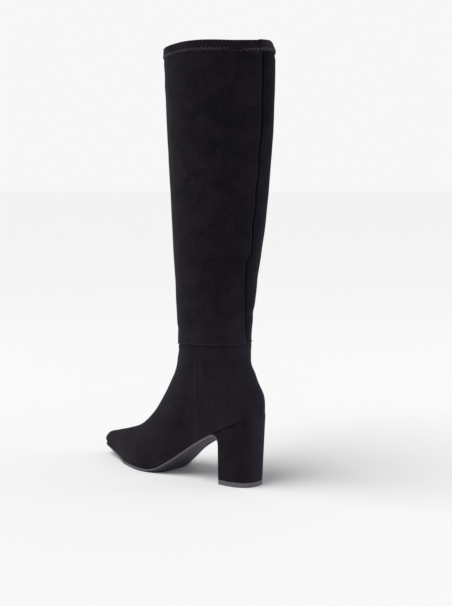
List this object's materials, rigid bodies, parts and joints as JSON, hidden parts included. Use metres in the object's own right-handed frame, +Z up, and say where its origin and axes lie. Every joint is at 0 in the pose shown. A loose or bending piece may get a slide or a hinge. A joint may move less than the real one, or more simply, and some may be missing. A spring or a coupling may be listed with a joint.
{
  "type": "knee-high boot",
  "caption": "Knee-high boot with a pointed toe, a soft hollow upper and shaft with a banded collar, and a tall covered block heel.",
  "frame": {"origin": "on the floor, under the middle of the boot's length and width", "axes": "+X to the toe, +Y to the outer side of this left boot, +Z up the shaft"},
  "size_m": [0.2603, 0.1166, 0.4871],
  "materials": {
    "black_suede": "brushed black suede",
    "stretch_suede": "black suede cloth with stretch",
    "grey_elastic": "brown-grey elastic tape",
    "lining": "dark textile lining",
    "outsole_rubber": "matt dark grey rubber",
    "heel_cover": "brushed black suede, wrapped",
    "top_piece": "matt grey rubber"
  },
  "bodies": {
    "root": {"upper": "black_suede", "shaft": "stretch_suede", "collar_band": "grey_elastic", "insole": "lining", "outsole": "outsole_rubber", "heel_block": "heel_cover", "heel_top_piece": "top_piece"}
  },
  "joints": []
}
